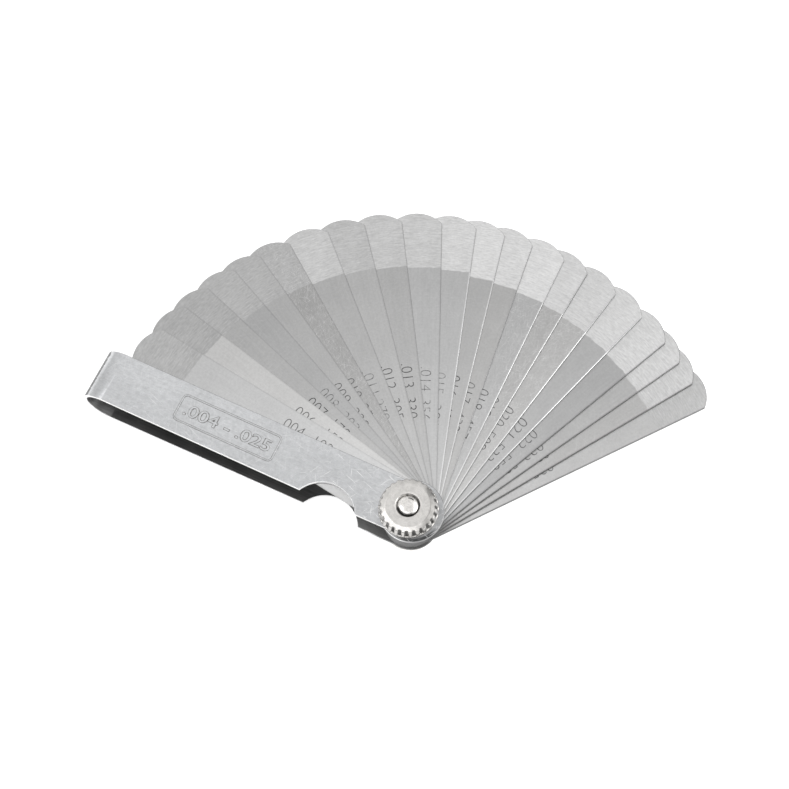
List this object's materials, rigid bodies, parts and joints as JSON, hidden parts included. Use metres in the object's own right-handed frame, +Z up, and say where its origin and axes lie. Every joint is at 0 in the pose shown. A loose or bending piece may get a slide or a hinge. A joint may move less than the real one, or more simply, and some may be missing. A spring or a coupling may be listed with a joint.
{
  "type": "feeler gauge",
  "caption": "Folding feeler gauge: graduated steel blades fanned on one stud, with a knurled lock nut and a bent steel strip case that the blades fold into.",
  "frame": {"origin": "on the stud axis, at the flat underside of the stud head that the gauge rests on", "axes": "+Z up along the stud towards the lock nut; the case runs from the stud along -X; the blades are fanned out on the +Y side"},
  "size_m": [0.1375, 0.0868, 0.015],
  "materials": {
    "case_steel": "fine brushed and lightly scratched steel strip",
    "blade_steel": "tempered spring steel, ground with a fine grain, lighter at the tips",
    "nut_nickel": "satin turned face with a bright bevel, slightly warm nickel plate",
    "stud_steel": "polished end, bright plated"
  },
  "bodies": {
    "case": {"case": "case_steel", "pivot_stud": "stud_steel"},
    "blade_004": {"blade_004": "blade_steel"},
    "blade_006": {"blade_006": "blade_steel"},
    "blade_007": {"blade_007": "blade_steel"},
    "blade_008": {"blade_008": "blade_steel"},
    "blade_009": {"blade_009": "blade_steel"},
    "blade_010": {"blade_010": "blade_steel"},
    "blade_011": {"blade_011": "blade_steel"},
    "blade_012": {"blade_012": "blade_steel"},
    "blade_013": {"blade_013": "blade_steel"},
    "blade_014": {"blade_014": "blade_steel"},
    "blade_015": {"blade_015": "blade_steel"},
    "blade_016": {"blade_016": "blade_steel"},
    "blade_017": {"blade_017": "blade_steel"},
    "blade_018": {"blade_018": "blade_steel"},
    "blade_019": {"blade_019": "blade_steel"},
    "blade_020": {"blade_020": "blade_steel"},
    "blade_021": {"blade_021": "blade_steel"},
    "blade_022": {"blade_022": "blade_steel"},
    "blade_023": {"blade_023": "blade_steel"},
    "blade_024": {"blade_024": "blade_steel"},
    "blade_025": {"blade_025": "blade_steel"},
    "lock_nut": {"lock_nut": "nut_nickel"}
  },
  "joints": [
    {"name": "blade_004_turn", "type": "hinge", "parent": "case", "child": "blade_004", "pos_m": [0, 0, 0.01075], "axis": [0, 0, -1], "range_deg": [-7.8, 337.2]},
    {"name": "blade_006_turn", "type": "hinge", "parent": "case", "child": "blade_006", "pos_m": [0, 0, 0.01058], "axis": [0, 0, -1], "range_deg": [-13.8, 331.2]},
    {"name": "blade_007_turn", "type": "hinge", "parent": "case", "child": "blade_007", "pos_m": [0, 0, 0.01037], "axis": [0, 0, -1], "range_deg": [-19.3, 325.7]},
    {"name": "blade_008_turn", "type": "hinge", "parent": "case", "child": "blade_008", "pos_m": [0, 0, 0.01013], "axis": [0, 0, -1], "range_deg": [-25.3, 319.7]},
    {"name": "blade_009_turn", "type": "hinge", "parent": "case", "child": "blade_009", "pos_m": [0, 0, 0.00987], "axis": [0, 0, -1], "range_deg": [-30.8, 314.2]},
    {"name": "blade_010_turn", "type": "hinge", "parent": "case", "child": "blade_010", "pos_m": [0, 0, 0.00958], "axis": [0, 0, -1], "range_deg": [-36.8, 308.2]},
    {"name": "blade_011_turn", "type": "hinge", "parent": "case", "child": "blade_011", "pos_m": [0, 0, 0.00927], "axis": [0, 0, -1], "range_deg": [-44.3, 300.7]},
    {"name": "blade_012_turn", "type": "hinge", "parent": "case", "child": "blade_012", "pos_m": [0, 0, 0.00893], "axis": [0, 0, -1], "range_deg": [-51.3, 293.7]},
    {"name": "blade_013_turn", "type": "hinge", "parent": "case", "child": "blade_013", "pos_m": [0, 0, 0.00856], "axis": [0, 0, -1], "range_deg": [-58.3, 286.7]},
    {"name": "blade_014_turn", "type": "hinge", "parent": "case", "child": "blade_014", "pos_m": [0, 0, 0.00817], "axis": [0, 0, -1], "range_deg": [-65.8, 279.2]},
    {"name": "blade_015_turn", "type": "hinge", "parent": "case", "child": "blade_015", "pos_m": [0, 0, 0.00776], "axis": [0, 0, -1], "range_deg": [-72.3, 272.7]},
    {"name": "blade_016_turn", "type": "hinge", "parent": "case", "child": "blade_016", "pos_m": [0, 0, 0.00732], "axis": [0, 0, -1], "range_deg": [-77.8, 267.2]},
    {"name": "blade_017_turn", "type": "hinge", "parent": "case", "child": "blade_017", "pos_m": [0, 0, 0.00685], "axis": [0, 0, -1], "range_deg": [-83.3, 261.7]},
    {"name": "blade_018_turn", "type": "hinge", "parent": "case", "child": "blade_018", "pos_m": [0, 0, 0.00636], "axis": [0, 0, -1], "range_deg": [-89.8, 255.2]},
    {"name": "blade_019_turn", "type": "hinge", "parent": "case", "child": "blade_019", "pos_m": [0, 0, 0.00585], "axis": [0, 0, -1], "range_deg": [-94.8, 250.2]},
    {"name": "blade_020_turn", "type": "hinge", "parent": "case", "child": "blade_020", "pos_m": [0, 0, 0.0053], "axis": [0, 0, -1], "range_deg": [-101.3, 243.7]},
    {"name": "blade_021_turn", "type": "hinge", "parent": "case", "child": "blade_021", "pos_m": [0, 0, 0.00474], "axis": [0, 0, -1], "range_deg": [-107.8, 237.2]},
    {"name": "blade_022_turn", "type": "hinge", "parent": "case", "child": "blade_022", "pos_m": [0, 0, 0.00414], "axis": [0, 0, -1], "range_deg": [-114.3, 230.7]},
    {"name": "blade_023_turn", "type": "hinge", "parent": "case", "child": "blade_023", "pos_m": [0, 0, 0.00353], "axis": [0, 0, -1], "range_deg": [-118.8, 226.2]},
    {"name": "blade_024_turn", "type": "hinge", "parent": "case", "child": "blade_024", "pos_m": [0, 0, 0.00288], "axis": [0, 0, -1], "range_deg": [-123.3, 221.7]},
    {"name": "blade_025_turn", "type": "hinge", "parent": "case", "child": "blade_025", "pos_m": [0, 0, 0.00221], "axis": [0, 0, -1], "range_deg": [-128.3, 216.7]},
    {"name": "lock_nut_turn", "type": "hinge", "parent": "case", "child": "lock_nut", "pos_m": [0, 0, 0.0133], "axis": [0, 0, 1], "range_deg": [0, 360]}
  ]
}
